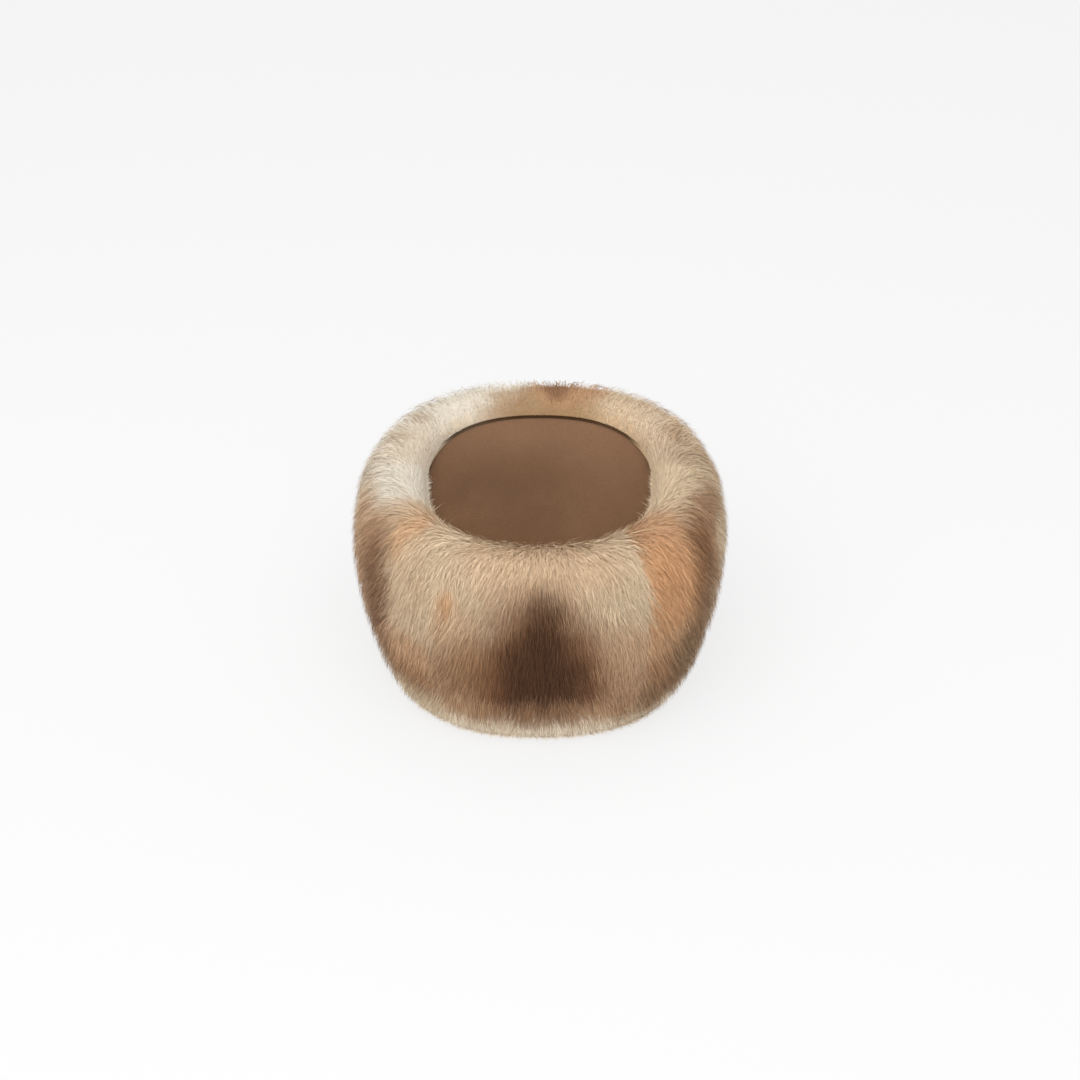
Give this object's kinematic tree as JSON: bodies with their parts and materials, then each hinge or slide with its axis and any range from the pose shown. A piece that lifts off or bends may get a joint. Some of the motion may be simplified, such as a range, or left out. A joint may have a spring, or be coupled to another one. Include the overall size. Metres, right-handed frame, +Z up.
{
  "type": "cossack hat",
  "caption": "Tall oval fur hat that flares upwards, with a flat suede top set down inside the fur's rolled ridge.",
  "frame": {"origin": "centre of the hat on the flat surface that its rim stands on", "axes": "+Z up from the rim to the top, -Y towards the front of the hat, +X to the right as seen from the front"},
  "size_m": [0.2444, 0.27, 0.1437],
  "materials": {
    "suede": "brushed suede, brown, matt",
    "fur_front": "long fur, cream with a dark brown stripe",
    "fur_front_right": "long fur, orange tan with a brown stripe",
    "fur_back_right": "long fur, pale tan",
    "fur_back": "long fur, golden tan with a dark tuft",
    "fur_back_left": "long fur, ivory with orange edges",
    "fur_front_left": "long fur, cream tan with a dark brown stripe"
  },
  "bodies": {
    "root": {"crown_top": "suede", "pelt_front": "fur_front", "pelt_front_right": "fur_front_right", "pelt_back_right": "fur_back_right", "pelt_back": "fur_back", "pelt_back_left": "fur_back_left", "pelt_front_left": "fur_front_left"}
  },
  "joints": []
}
